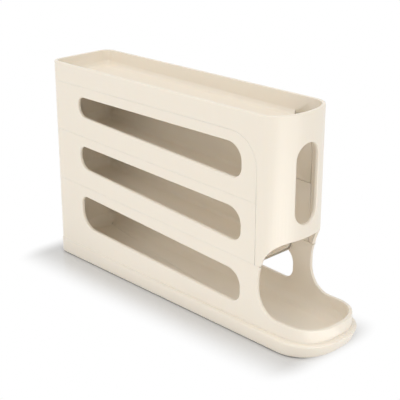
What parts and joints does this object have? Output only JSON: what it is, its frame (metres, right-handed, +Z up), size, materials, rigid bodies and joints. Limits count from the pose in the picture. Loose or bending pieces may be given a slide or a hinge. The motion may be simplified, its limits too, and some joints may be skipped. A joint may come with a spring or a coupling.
{
  "type": "rolling egg dispenser",
  "caption": "Stacked gravity egg dispenser: an open top tray and slotted tiers slope to a round-nosed front column that drops eggs into an open scoop.",
  "frame": {"origin": "middle of the base at table height", "axes": "+X from the closed rear to the scoop, +Y across the lanes, +Z up"},
  "size_m": [0.4172, 0.102, 0.245],
  "materials": {
    "ivory_plastic": "satin moulded polypropylene, soft sheen",
    "soft_foot": "matt soft elastomer"
  },
  "bodies": {
    "base": {"base_tray": "ivory_plastic", "foot_rear_right": "soft_foot", "foot_rear_left": "soft_foot", "foot_front_right": "soft_foot", "foot_front_left": "soft_foot"},
    "middle": {"middle_tier": "ivory_plastic"},
    "upper": {"upper_tier": "ivory_plastic"},
    "top": {"top_tray": "ivory_plastic"}
  },
  "joints": [
    {"name": "lift_middle_tier", "type": "slide", "parent": "base", "child": "middle", "axis": [0, 0, 1], "range_m": [0, 0.1]},
    {"name": "lift_upper_tier", "type": "slide", "parent": "middle", "child": "upper", "axis": [0, 0, 1], "range_m": [0, 0.1]},
    {"name": "lift_top_tray", "type": "slide", "parent": "upper", "child": "top", "axis": [0, 0, 1], "range_m": [0, 0.16]}
  ]
}
